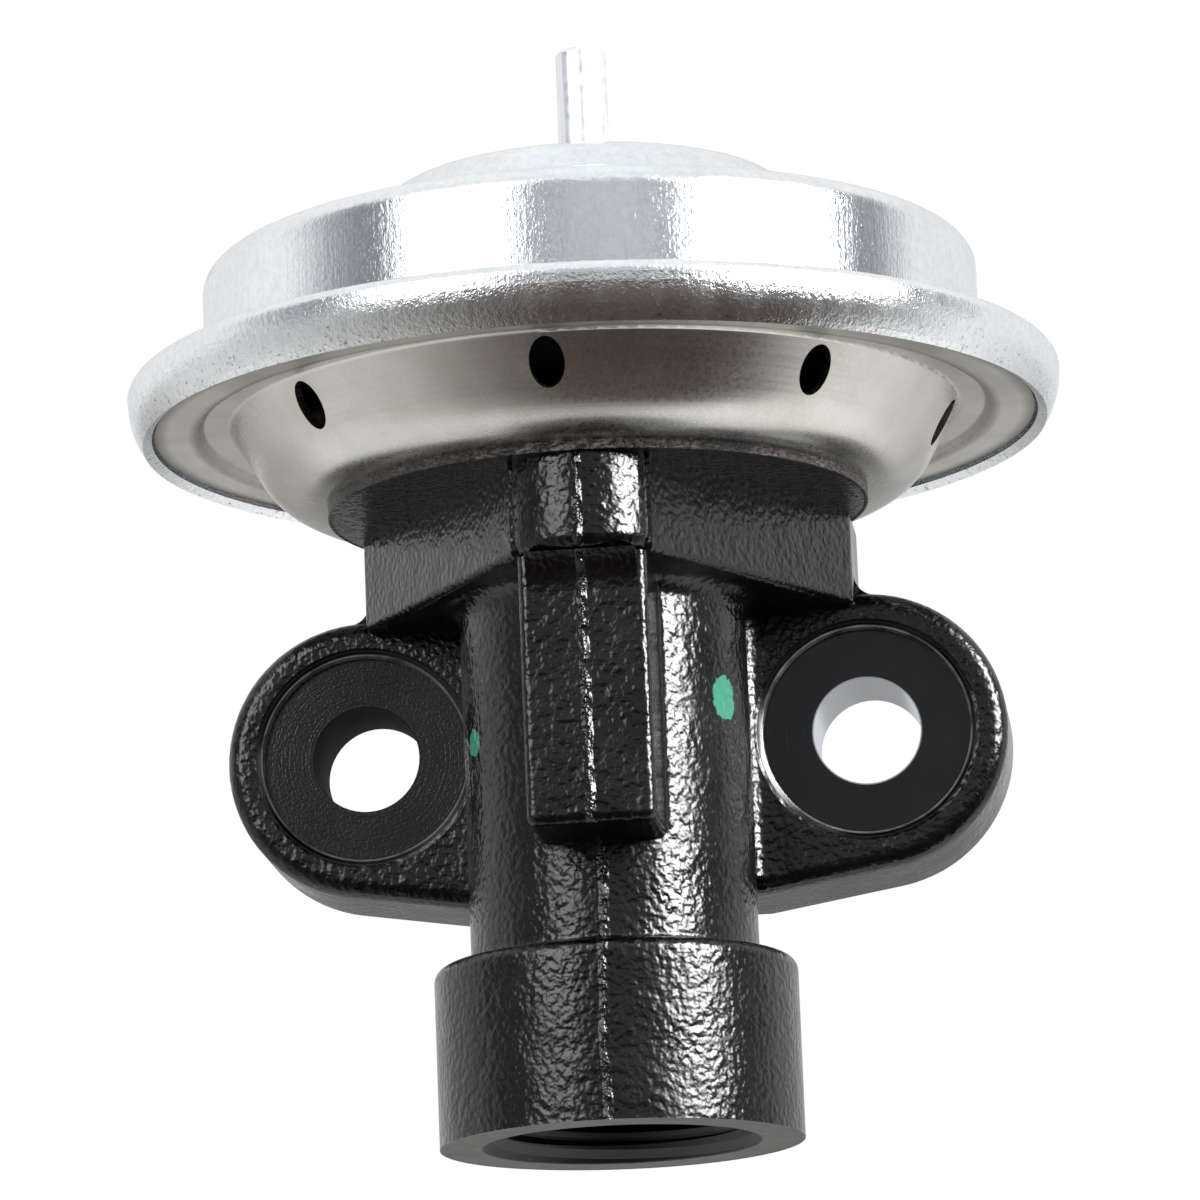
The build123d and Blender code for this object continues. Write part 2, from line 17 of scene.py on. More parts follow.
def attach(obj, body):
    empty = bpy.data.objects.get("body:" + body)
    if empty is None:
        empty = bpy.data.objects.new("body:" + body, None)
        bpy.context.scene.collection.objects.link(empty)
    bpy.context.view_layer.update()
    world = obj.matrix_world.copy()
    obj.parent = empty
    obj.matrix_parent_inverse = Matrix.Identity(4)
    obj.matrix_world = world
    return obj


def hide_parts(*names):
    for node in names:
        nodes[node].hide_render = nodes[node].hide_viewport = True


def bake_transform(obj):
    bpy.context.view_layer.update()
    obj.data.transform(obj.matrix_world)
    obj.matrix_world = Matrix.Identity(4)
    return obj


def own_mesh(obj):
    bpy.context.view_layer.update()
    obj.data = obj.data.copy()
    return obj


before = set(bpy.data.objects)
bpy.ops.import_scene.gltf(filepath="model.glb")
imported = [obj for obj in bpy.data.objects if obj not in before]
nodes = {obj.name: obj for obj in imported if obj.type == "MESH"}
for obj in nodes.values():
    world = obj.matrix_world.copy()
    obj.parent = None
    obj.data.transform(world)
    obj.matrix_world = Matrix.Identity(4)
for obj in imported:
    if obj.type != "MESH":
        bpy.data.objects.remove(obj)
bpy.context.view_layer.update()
mm = 0.001

# %% [markdown]
# ## Helpers for materials
# A finish is a node tree. Nodes could be wired one line at a time, but then the sums hide
# what they are for. So one class holds a tree and adds nodes to it in plain words, and the
# world at the end uses it too. A number that runs from 0 to 1 over the surface is a mask:
# it says where a colour, a gloss or a relief applies.

# %% Helper: words for a node tree
class Wiring:
    """A node tree, with short words for adding nodes and linking them."""

    def __init__(self, tree):
        self.tree = tree

    def add(self, kind, inputs=(), **settings):
        """A node with its settings, and with a value or another node's socket at each input."""
        node = self.tree.nodes.new(kind)
        for key, value in settings.items():
            setattr(node, key, value)
        for key, value in dict(inputs).items():
            self.feed(node.inputs[key], value)
        return node

    def feed(self, socket, value):
        """Link a socket, or set a number or a colour."""
        if isinstance(value, bpy.types.NodeSocket):
            self.tree.links.new(value, socket)
        else:
            socket.default_value = value

    def math(self, operation, first, second=0.0):
        return self.add("ShaderNodeMath", {0: first, 1: second}, operation=operation).outputs[0]

    def plus(self, first, second):
        return self.math("ADD", first, second)

    def less(self, first, second):
        return self.math("SUBTRACT", first, second)

    def times(self, first, second):
        return self.math("MULTIPLY", first, second)

    def either(self, first, second):
        return self.math("MAXIMUM", first, second)

    def ramp(self, value, low, high, out_low=0.0, out_high=1.0):
        """A number that runs from out_low to out_high while value runs from low to high."""
        inputs = {"Value": value, "From Min": low, "From Max": high, "To Min": out_low, "To Max": out_high}
        return self.add("ShaderNodeMapRange", inputs).outputs["Result"]

    def mix(self, factor, first, second):
        """Two colours, each written as three numbers or linked, mixed by a number."""
        node = self.add("ShaderNodeMix", {"Factor": factor}, data_type="RGBA")
        for side, color in (("A", first), ("B", second)):
            linked = isinstance(color, bpy.types.NodeSocket)
            self.feed(node.inputs[side], color if linked else (*color, 1))
        return node.outputs["Result"]


print("a node tree can be wired in plain words")

# %% [markdown]
# A finish adds a shader and a place to that. Every pattern reads Object coordinates, which
# are metres in the model's own frame, so it stays on the piece, and where a machined face
# or an edge lies follows from the coordinates. No mask has to be painted by hand. The size
# of a pattern is given in millimetres, as a maker would measure it.

# %% Helper: a finish
class Finish(Wiring):
    """A material under construction: its tree, its shader and its object coordinates."""

    def __init__(self, name, color, metallic, roughness):
        self.material = bpy.data.materials.new(name)
        self.material.use_nodes = True
        super().__init__(self.material.node_tree)
        self.shader = self.tree.nodes["Principled BSDF"]
        self.shader.inputs["Base Color"].default_value = (*color, 1)
        self.shader.inputs["Metallic"].default_value = metallic
        self.shader.inputs["Roughness"].default_value = roughness
        self.place = self.add("ShaderNodeTexCoord").outputs["Object"]

    def vary(self, input_name, value):
        """Let one of the shader's inputs change over the surface."""
        self.feed(self.shader.inputs[input_name], value)

    def axes(self):
        split = self.add("ShaderNodeSeparateXYZ", {"Vector": self.place})
        return split.outputs[0], split.outputs[1], split.outputs[2]

    def radius(self, x, y):
        return self.math("SQRT", self.plus(self.times(x, x), self.times(y, y)))

    def size(self, value):
        return self.math("ABSOLUTE", value)

    def inside(self, value, limit, fade=0.1 * mm):
        """A mask of where value is below its limit; it is full from fade below the limit."""
        return self.ramp(value, limit, limit - fade)

    def noise(self, grain, detail=3.0, roughness=0.5, stretch=(1, 1, 1)):
        """Cloudy noise in blobs about grain millimetres wide, drawn out where stretch is under 1."""
        place = self.add("ShaderNodeMapping", {"Vector": self.place, "Scale": stretch}).outputs[0]
        inputs = {"Vector": place, "Scale": 1 / (grain * mm), "Detail": detail, "Roughness": roughness}
        return self.add("ShaderNodeTexNoise", inputs).outputs["Fac"]

    def rings(self, distance, spacing, detail=2.0):
        """Noise over one number, such as a radius: marks about spacing millimetres apart."""
        inputs = {"W": self.times(distance, 1 / (spacing * mm)), "Scale": 1.0, "Detail": detail}
        return self.add("ShaderNodeTexNoise", inputs, noise_dimensions="1D").outputs["Fac"]

    def bump(self, height, depth):
        """Relief over what is there: height is a number from 0 to 1, depth is in millimetres."""
        below = self.shader.inputs["Normal"].links
        node = self.add("ShaderNodeBump", {"Height": height, "Distance": depth * mm})
        if below:
            self.tree.links.new(below[0].from_socket, node.inputs["Normal"])
        self.tree.links.new(node.outputs["Normal"], self.shader.inputs["Normal"])


def dress(finish, slot, *names):
    """Give these CAD nodes a finish. The slot argument is not used."""
    for name in names:
        nodes[name].data.materials.clear()
        nodes[name].data.materials.append(finish.material)
    print(finish.material.name, "on", ", ".join(names))


# %% [markdown]
# ## Black paint over a sand casting
# The body is cast iron under a thick gloss paint. Some of it was machined: the spotfaces
# round the bolt holes, the collar's end and bore, and the rear mounting face. These are
# smooth, so the first step is a mask for each. They could be faces picked by hand, but the
# coordinates already say where they are. The distance from a bolt's axis is one sum for
# both ears, because it starts from the size of x, with its sign left out.

# %% Where the casting is machined
bolt_x, bolt_z, bolt_hole_radius = 23.5 * mm, 38.7 * mm, 5.0 * mm
spotface_radius, spotface_y = 9.75 * mm, 8.2 * mm
spotface_layer_y, spotface_layer_half = 10 * mm, 1.9 * mm
bore_radius, bore_depth = 12.8 * mm, 20 * mm
end_radius, mount_face_y = 16.4 * mm, 19.1 * mm
paint_color = (0.0012, 0.0012, 0.0013)

paint = Finish("black_paint", paint_color, 0.0, 0.2)
x, y, z = paint.axes()
from_axis = paint.radius(x, y)
from_bolt = paint.radius(paint.less(paint.size(x), bolt_x), paint.less(z, bolt_z))
past_edge = paint.less(from_bolt, spotface_radius)
in_layer = paint.inside(paint.size(paint.less(y, spotface_layer_y)), spotface_layer_half)
in_spotface = paint.times(paint.inside(from_bolt, spotface_radius), in_layer)
in_bore = paint.times(paint.inside(from_axis, bore_radius), paint.inside(z, bore_depth, 1 * mm))
on_end = paint.times(paint.inside(z, 0.12 * mm, 0.08 * mm), paint.inside(from_axis, end_radius, 0.3 * mm))
on_mount_face = paint.ramp(y, mount_face_y - 0.07 * mm, mount_face_y - 0.02 * mm)
machined = paint.either(on_end, on_mount_face)
print("spotface radius", spotface_radius / mm, "mm, bore radius", bore_radius / mm, "mm")

# %% [markdown]
# The paint follows the sand's grain and softens it, which gives the small leathery bumps
# that break every highlight. They could be sculpted, but relief of a tenth of a millimetre
# is what a bump is for. A fine noise is the sand, and a coarse one is the uneven mould.
# Both stop at the machined places, and a little way outside each spotface.

# %% Sand grain
sand_grain, swell_grain, sand_depth = 0.62, 2.8, 0.12
smooth = paint.either(in_spotface, paint.either(machined, in_bore))
off_spotface = paint.ramp(past_edge, 0.45 * mm, 0.75 * mm)
cast_skin = paint.times(paint.less(1.0, smooth), off_spotface)
sand = paint.noise(sand_grain, detail=1.0, roughness=0.35)
swell = paint.noise(swell_grain, detail=1.0)
relief = paint.plus(sand, paint.times(swell, 0.9))
paint.bump(paint.times(relief, cast_skin), sand_depth)
print("sand grain", sand_grain, "mm wide and", sand_depth, "mm deep")

# %% [markdown]
# The mould's halves met in the middle of the front and left a thin fin. It is a ridge where
# x is near one value. Noise makes it wander, and more noise makes it ragged. On the column
# and the collar it was filed down, so it stands highest on the pad and the nose, which lie
# further forward.

# %% Parting line
parting_x, parting_width, parting_height = 0.38 * mm, 0.5 * mm, 0.26
filed_height = 0.55
wander = paint.times(paint.less(paint.noise(2.5), 0.5), 0.6 * mm)
off_parting = paint.size(paint.less(paint.less(x, parting_x), wander))
on_front = paint.inside(y, -10 * mm, 1 * mm)
parting = paint.times(paint.ramp(off_parting, parting_width, 0.0), on_front)
ragged = paint.ramp(paint.noise(0.8, detail=2.0), 0.35, 0.6, 0.35, 1.1)
filed = paint.ramp(y, -19.5 * mm, -17.5 * mm, 1.0, filed_height)
paint.bump(paint.times(paint.times(parting, ragged), filed), parting_height)
print("parting line", parting_height, "mm high")

# %% [markdown]
# Each tool leaves its own marks. The spotface cutter leaves rings and a rounded edge of
# paint round them. The paint in the left spotface is speckled. The milling cutter leaves
# fine lines across the mounting face. In the collar's bore a groove winds up with the
# thread: the turns are counted from the height, less the angle round the axis.

# %% Marks of the tools
edge_width, edge_height = 0.4 * mm, 0.26
turning_spacing, turning_depth = 0.22, 0.012
speck_grain, speck_depth = 0.3, 0.03
milling_grain, milling_depth = 0.5, 0.015
thread_pitch, groove_depth = 1.5, 0.5

round_edge = paint.times(paint.ramp(past_edge, -0.1 * mm, edge_width), paint.inside(y, spotface_y))
paint.bump(round_edge, edge_height)
paint.bump(paint.times(paint.rings(from_bolt, turning_spacing), in_spotface), turning_depth)
specks_at_left = paint.times(paint.noise(speck_grain, detail=2.0), paint.inside(x, 1 * mm, 2 * mm))
paint.bump(paint.times(specks_at_left, in_spotface), speck_depth)
milling = paint.noise(milling_grain, detail=2.0, stretch=(0.05, 1, 1))
paint.bump(paint.times(milling, on_mount_face), milling_depth)
around = paint.math("DIVIDE", paint.math("ARCTAN2", y, x), 2 * pi)
turns_up = paint.less(paint.math("DIVIDE", z, thread_pitch * mm), around)
groove = paint.math("PINGPONG", turns_up, 0.5)
paint.bump(paint.times(groove, in_bore), groove_depth)
print("turning marks", turning_spacing, "mm apart, thread pitch", thread_pitch, "mm")

# %% [markdown]
# Two dabs of green paint on the column are an inspector's marks. A dab is a ball in the
# coordinates, stretched along the height and made ragged with noise.

# %% Dabs of green paint
def dab(center, across, tall):
    """A mask of one dab, from its centre and half its width and height in millimetres."""
    center_place = tuple(-c * mm for c in center)
    shifted = paint.add("ShaderNodeMapping", {"Vector": paint.place, "Location": center_place}).outputs[0]
    shrink = (1 / (across * mm), 1 / (across * mm), 1 / (tall * mm))
    ball = paint.add("ShaderNodeMapping", {"Vector": shifted, "Scale": shrink}).outputs[0]
    distance = paint.add("ShaderNodeVectorMath", {0: ball}, operation="LENGTH").outputs["Value"]
    ragged_distance = paint.plus(distance, paint.times(paint.noise(0.7), 0.7))
    return paint.ramp(ragged_distance, 1.38, 1.3)


right_dab = dab((11.5, -6.5, 39.5), across=1.75, tall=2.1)
left_dab = dab((-11.8, -6.4, 36.7), across=1.2, tall=1.35)
marks = paint.either(right_dab, left_dab)
print("two dabs on the column")

# %% [markdown]
# The colour changes in layers, each mixed over the last one. The end of the collar and the
# mounting face are grey metal with a thin stain of paint. The edges of the spotfaces are
# rubbed in places. Then come the dabs, and last the bare steel of the right bolt hole,
# which was reamed after painting, while the left one kept its paint.

# %% Colour of the casting
machined_color, rubbed_color = (0.13, 0.127, 0.122), (0.3, 0.285, 0.27)
mark_color, bare_metal_color = (0.07, 0.42, 0.28), (0.56, 0.58, 0.62)

thin_paint = paint.times(machined, paint.ramp(paint.noise(1.5), 0.3, 0.6, 0.6, 1.0))
body_color = paint.mix(thin_paint, paint_color, machined_color)
at_edge = paint.times(paint.inside(paint.size(past_edge), 0.16 * mm, 0.12 * mm), paint.inside(y, 9 * mm))
rubbed = paint.ramp(paint.noise(2.2), 0.35, 0.6, 0.25, 0.9)
body_color = paint.mix(paint.times(at_edge, rubbed), body_color, rubbed_color)
body_color = paint.mix(marks, body_color, mark_color)
in_hole = paint.inside(from_bolt, bolt_hole_radius + 0.15 * mm)
bare_hole = paint.times(in_hole, paint.ramp(x, -1 * mm, 1 * mm))
body_color = paint.mix(bare_hole, body_color, bare_metal_color)
paint.vary("Base Color", body_color)
paint.vary("Metallic", bare_hole)
print("paint, machined metal, rubbed edges, dabs and one bare hole")

# %% [markdown]
# The gloss is high and a little uneven. It is duller on machined metal and in the bore, and
# dullest in the painted bolt hole, where the spray came in as dust.

# %% Gloss of the casting
painted_hole = paint.less(in_hole, bare_hole)
gloss = paint.ramp(paint.noise(6, detail=2.0), 0.3, 0.7, 0.17, 0.27)
for place, extra_roughness in ((machined, 0.2), (in_bore, 0.3), (painted_hole, 0.7)):
    gloss = paint.plus(gloss, paint.times(place, extra_roughness))
paint.vary("Roughness", gloss)
paint.shader.inputs["Specular IOR Level"].default_value = 0.45
dress(paint, "black_casting", "valve_body")

# %% [markdown]
# ## Bright zinc on the upper can
# The upper can is drawn from steel and plated with bright zinc. Drawing drags the sheet
# up the wall and leaves fine upright scratches, so the noise is drawn out along the height.
# The rim was rolled over a tool, which leaves a grainier skin, and pits on its lip. Damp
# stays under the lip and at the wall's foot, so a little rust starts there.

# %% Patterns on the zinc
rim_high, rim_low = 72.2 * mm, 68.6 * mm
lip_z, foot_z, foot_radius = 67.6 * mm, 72.6 * mm, 37.5 * mm
zinc = Finish("bright_zinc", (0.78, 0.8, 0.81), 1.0, 0.2)
x, y, z = zinc.axes()
scratch = zinc.noise(0.4, detail=4.0, roughness=0.7, stretch=(1, 1, 0.04))
streak = zinc.noise(1.6, stretch=(1, 1, 0.06))
speckle = zinc.noise(0.4, detail=2.5, roughness=0.65)
mottle = zinc.noise(0.8, detail=4.0, roughness=0.7)
cloud = zinc.noise(9)
on_rim = zinc.inside(z, rim_high + 0.6 * mm, 0.6 * mm)
on_lip = zinc.inside(z, rim_low + 1.2 * mm, 2 * mm)
pits = zinc.times(zinc.ramp(speckle, 0.62, 0.7), on_lip)
at_foot = zinc.times(zinc.inside(z, foot_z, 0.5 * mm), zinc.inside(zinc.radius(x, y), foot_radius, 0.5 * mm))
damp = zinc.either(zinc.inside(z, lip_z, 0.8 * mm), at_foot)
rusty = zinc.times(zinc.ramp(zinc.noise(0.7, roughness=0.7), 0.6, 0.68), damp)
print("rim from", rim_low / mm, "to", rim_high / mm, "mm")

# %% Colour, gloss and relief of the zinc
light_zinc, dark_zinc = (0.86, 0.885, 0.9), (0.8, 0.825, 0.85)
mottle_color, scratch_color = (0.42, 0.44, 0.47), (0.6, 0.62, 0.64)
rust_color, pit_color = (0.3, 0.23, 0.19), (0.16, 0.13, 0.11)
layers = (
    (zinc.ramp(mottle, 0.4, 0.66), 0.2, mottle_color),
    (zinc.ramp(scratch, 0.6, 0.72), 0.3, scratch_color),
    (rusty, 0.6, rust_color),
    (pits, 0.8, pit_color),
)
tint = zinc.mix(zinc.ramp(cloud, 0.35, 0.65), light_zinc, dark_zinc)
for place, strength, color in layers:
    tint = zinc.mix(zinc.times(place, strength), tint, color)
zinc.vary("Base Color", tint)
rough = zinc.ramp(streak, 0.35, 0.65, 0.08, 0.15)
for place, extra_roughness in ((on_rim, 0.06), (pits, 0.25)):
    rough = zinc.plus(rough, zinc.times(place, extra_roughness))
zinc.vary("Roughness", rough)
scratch_depth, streak_depth, speckle_depth, wall_share = 0.02, 0.012, 0.05, 0.6
zinc.bump(scratch, scratch_depth)
zinc.bump(streak, streak_depth)
zinc.bump(zinc.times(speckle, zinc.ramp(on_rim, 0.0, 1.0, wall_share, 1.0)), speckle_depth)
dress(zinc, "zinc_steel", "upper_can")

# %% [markdown]
# The nipple is drawn tube under the same plating. It is a little duller than the can, and
# its streaks run along its length.

# %% Plated tube
tube = Finish("plated_tube", (0.86, 0.87, 0.88), 1.0, 0.3)
drawn = tube.noise(0.25, stretch=(1, 1, 0.03))
tube.vary("Base Color", tube.mix(tube.ramp(drawn, 0.4, 0.65), (0.9, 0.91, 0.92), (0.74, 0.76, 0.79)))
tube.vary("Roughness", tube.ramp(tube.noise(1.2), 0.35, 0.65, 0.3, 0.42))
tube.bump(drawn, 0.01)
dress(tube, "zinc_steel", "vacuum_nipple")

# %% [markdown]
# ## Satin steel on the lower can
# The lower can is the same sheet with a dull passivated skin: a warm grey that spreads
# its reflections wide. Faint rings run round it from the drawing tool. A ring pattern is
# noise over one number, here the height, which is the same all the way round. Painted
# shade darkens the colour in the flange's fold and where the rolled lip grips the flange.

# %% Satin steel
flange_radius, fold_radius, lip_grip_radius = 33.5 * mm, 37 * mm, 39.6 * mm
light_satin, dark_satin, painted_shade_color = (0.68, 0.665, 0.625), (0.57, 0.55, 0.505), (0.13, 0.12, 0.105)
ring_depth, grain_depth = 0.01, 0.006

satin = Finish("satin_steel", (0.6, 0.58, 0.54), 1.0, 0.4)
x, y, z = satin.axes()
from_axis = satin.radius(x, y)
grain = satin.noise(0.4, detail=4.0, roughness=0.7)
stain = satin.noise(7, detail=4.0)
tint = satin.mix(satin.ramp(stain, 0.35, 0.68), light_satin, dark_satin)
# Painted shade: the colour darkens towards the lip's grip and on both sides of the fold.
painted_shade_at_lip = satin.ramp(from_axis, lip_grip_radius, lip_grip_radius + 1.4 * mm, 0.0, 0.8)
off_fold = satin.size(satin.less(from_axis, fold_radius))
painted_shade_at_fold = satin.ramp(off_fold, 0.9 * mm, 0.2 * mm, 0.0, 0.5)
satin.vary("Base Color", satin.mix(satin.either(painted_shade_at_lip, painted_shade_at_fold), tint, painted_shade_color))
dullness = satin.ramp(grain, 0.3, 0.7, 0.23, 0.34)
duller_flange = satin.ramp(from_axis, flange_radius, flange_radius + 2 * mm, 0.0, 0.16)
satin.vary("Roughness", satin.plus(dullness, duller_flange))
satin.bump(satin.rings(z, 0.5, detail=3.0), ring_depth)
satin.bump(grain, grain_depth)
dress(satin, "satin_steel", "lower_can")

# %% [markdown]
# ## Fibre disc under the can
# An insulating disc keeps the body's heat from the diaphragm. It was painted over with
# the casting. Its edge crumbles and is chipped, so pale fibres show through the paint. The
# chips are noise, kept to the edge and to the worn stretches of it.

# %% Fibre disc
disc_edge_radius, crumble_depth, face_share = 24.7 * mm, 0.55, 0.2
painted_color, fibre_color = (0.003, 0.003, 0.003), (0.32, 0.25, 0.215)

fibre = Finish("painted_fibre", painted_color, 0.0, 0.25)
x, y, z = fibre.axes()
on_edge = fibre.ramp(fibre.radius(x, y), disc_edge_radius, disc_edge_radius + 0.25 * mm)
chips = fibre.noise(0.7, detail=5.0, roughness=0.8, stretch=(1, 1, 2.4))
worn = fibre.ramp(fibre.noise(7, detail=2.0), 0.35, 0.6)
chipped = fibre.times(fibre.ramp(chips, 0.46, 0.6), fibre.times(on_edge, worn))
fibre.vary("Base Color", fibre.mix(chipped, painted_color, fibre_color))
fibre.vary("Roughness", fibre.ramp(chips, 0.45, 0.65, 0.14, 0.5))
crumble = fibre.noise(0.8, detail=4.0, roughness=0.65, stretch=(1, 1, 1.6))
fibre.bump(fibre.times(crumble, fibre.ramp(on_edge, 0.0, 1.0, face_share, 1.0)), crumble_depth)
dress(fibre, "insulator_fibre", "base_insulator")

# %% [markdown]
# ## Plain metals inside
# The washers, rivets, pistons, stem, seat and guide are hidden by the cans or seen only
# through the ports. Each is one metal with turning marks: rings round the stem's axis,
# which also step along the height, so that a side wall has them too. One function makes
# them all, with the colours, the roughness and the spacing of the marks as its values. The
# pistons are pressed from phosphated sheet, which is nearly black.

# %% Turned metals
def turned_metal(name, color, worn_color, roughness, mark):
    """Machined metal with rings round the stem's axis, mark millimetres apart."""
    finish = Finish(name, color, 1.0, roughness)
    x, y, z = finish.axes()
    cloud = finish.ramp(finish.noise(3, detail=4.0), 0.35, 0.7)
    finish.vary("Base Color", finish.mix(cloud, color, worn_color))
    uneven = finish.noise(0.6, detail=4.0)
    finish.vary("Roughness", finish.ramp(uneven, 0.3, 0.7, roughness - 0.07, roughness + 0.1))
    along = finish.plus(finish.radius(x, y), finish.times(z, 0.7))
    finish.bump(finish.rings(along, mark), 0.01)
    return finish


plain = turned_metal("plain_steel", (0.62, 0.62, 0.6), (0.5, 0.5, 0.49), 0.32, 0.4)
dress(plain, "plain_steel", "seal_retainer", "clamp_plate", "base_rivets", "spring_seat")
dress(plain, "plain_steel", "shoulder_washer", "clamp_washer", "stem_nut")
stem = turned_metal("ground_stainless", (0.5, 0.49, 0.47), (0.36, 0.34, 0.31), 0.24, 0.2)
dress(stem, "stem_steel", "valve_stem", "pintle", "soot_shield")
seat = turned_metal("seat_steel", (0.45, 0.44, 0.42), (0.33, 0.31, 0.29), 0.3, 0.25)
dress(seat, "seat_steel", "valve_seat")
iron = turned_metal("guide_iron", (0.25, 0.24, 0.23), (0.17, 0.16, 0.15), 0.45, 0.3)
dress(iron, "guide_iron", "guide_bushing")
phosphated = turned_metal("phosphated_steel", (0.05, 0.05, 0.053), (0.035, 0.035, 0.036), 0.45, 0.6)
dress(phosphated, "piston_steel", "lower_piston", "upper_piston")

# %% [markdown]
# ## Graphite packing and brazing metal
# The stem's packing is pressed graphite: dark, dull and flaky. The nipple is brazed into
# the crown, and the brass-coloured fillet round its foot has run unevenly. Both need only
# one noise, for the colour and the relief together.

# %% Packing and braze
graphite = Finish("pressed_graphite", (0.06, 0.06, 0.062), 0.3, 0.55)
flakes = graphite.noise(0.5, detail=5.0, roughness=0.7, stretch=(1, 1, 2))
flake_colors = (0.045, 0.045, 0.047), (0.13, 0.13, 0.135)
graphite.vary("Base Color", graphite.mix(graphite.ramp(flakes, 0.4, 0.7), *flake_colors))
graphite.bump(flakes, 0.08)
dress(graphite, "packing", "stem_seal")

brass = Finish("braze", (0.74, 0.66, 0.5), 1.0, 0.3)
runs = brass.noise(0.8)
run_colors = (0.76, 0.7, 0.58), (0.62, 0.56, 0.45)
brass.vary("Base Color", brass.mix(brass.ramp(runs, 0.35, 0.65), *run_colors))
brass.bump(runs, 0.1)
dress(brass, "braze", "nipple_braze")

# %% [markdown]
# ## Turning a piece
# Four pieces are made here, because they bend or are too fine for a solid. Each has one
# section all round the valve's axis, so all of them come from bmesh's spin: a few vertices
# and edges, turned in steps. With a rise per turn the spin becomes a screw, which is how a
# coil and a thread are made.

# %% Helper: spin a section
def swept(section, turns, steps_per_turn, rise=0.0):
    """A closed section of (radius, height) points in millimetres, swept about the axis."""
    steps = round(turns * steps_per_turn)
    form = bmesh.new()
    corners = [form.verts.new((radius * mm, 0, height * mm)) for radius, height in section]
    sides = [form.edges.new(pair) for pair in zip(corners, corners[1:] + corners[:1])]
    bmesh.ops.spin(
        form,
        geom=corners + sides,
        cent=(0, 0, 0),
        axis=(0, 0, 1),
        dvec=(0, 0, rise * turns * mm / steps),
        angle=2 * pi * turns,
        steps=steps,
        use_merge=rise == 0,
    )
    close_ends(form)
    bmesh.ops.recalc_face_normals(form, faces=form.faces)
    return form


def close_ends(form):
    """Fill the open ends of a sweep or a cut."""
    bmesh.ops.holes_fill(form, edges=[edge for edge in form.edges if edge.is_boundary])


def finished(name, form, finish, body=None):
    """The object that holds a finished form, smooth but for its sharp edges."""
    mesh = bpy.data.meshes.new(name)
    form.to_mesh(mesh)
    form.free()
    mesh.shade_smooth()
    mesh.set_sharp_from_angle(angle=radians(35))
    mesh.materials.append(finish.material)
    piece = bpy.data.objects.new(name, mesh)
    bpy.context.scene.collection.objects.link(piece)
    if body:
        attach(piece, body)
    print(name, "has", len(mesh.polygons), "faces")
    return piece


# %% [markdown]
# ## Thread in the collar
# The exhaust tube's nut screws into the collar. The solid has a plain bore at the
# thread's inner size, so the thread is a thin ridge on that bore. Its section is a
# triangle with its tip cut off and its foot sunk a little into the wall, and a screw
# sweep winds it up.

# %% Collar thread
thread_height, thread_bore, foot_sunk = 0.3, 11.2, 0.1
thread_low, thread_high = 1.6, 13.4
foot_share, tip_low_share, tip_high_share = 0.9, 0.4, 0.5
thread_steps = 96
thread_section = [
    (thread_bore + foot_sunk, thread_low),
    (thread_bore + foot_sunk, thread_low + foot_share * thread_pitch),
    (thread_bore - thread_height, thread_low + tip_high_share * thread_pitch),
    (thread_bore - thread_height, thread_low + tip_low_share * thread_pitch),
]
thread_turns = (thread_high - thread_low) / thread_pitch - 1
thread_form = swept(thread_section, thread_turns, thread_steps, thread_pitch)
finished("collar_thread", thread_form, paint, "valve")

# %% [markdown]
# ## Return spring
# The spring presses the pintle onto its seat and shortens when vacuum lifts the
# diaphragm. Its wire is a circle swept as a screw, and both ends are cut flat, as a
# ground spring's are. The lower cut stays a hair above the piston, so that the two never
# meet.

# %% Spring wire
spring_low, spring_high = 68.0, 87.8
spring_radius, wire_radius, coil_turns = 11.0, 0.85, 6.5
wire_sides, coil_steps, seat_gap = 16, 40, 0.04
spring_steel = turned_metal("oiled_spring_wire", (0.36, 0.36, 0.37), (0.24, 0.23, 0.22), 0.28, 0.5)
wire_angles = [2 * pi * side / wire_sides for side in range(wire_sides)]
wire_section = [
    (spring_radius + wire_radius * cos(angle), spring_low + wire_radius * sin(angle))
    for angle in wire_angles
]
coil_rise = (spring_high - spring_low) / coil_turns
coil = swept(wire_section, coil_turns, coil_steps, coil_rise)
print("wire of", 2 * wire_radius, "mm, rising", round(coil_rise, 2), "mm a turn")

# %% Ground ends
for height, outward in ((spring_low + seat_gap, -1), (spring_high, 1)):
    bmesh.ops.bisect_plane(
        coil,
        geom=[*coil.verts, *coil.edges, *coil.faces],
        plane_co=(0, 0, height * mm),
        plane_no=(0, 0, outward),
        clear_outer=True,
    )
    close_ends(coil)
return_coil = finished("return_coil", coil, spring_steel, "valve")
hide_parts("return_spring")
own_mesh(return_coil)
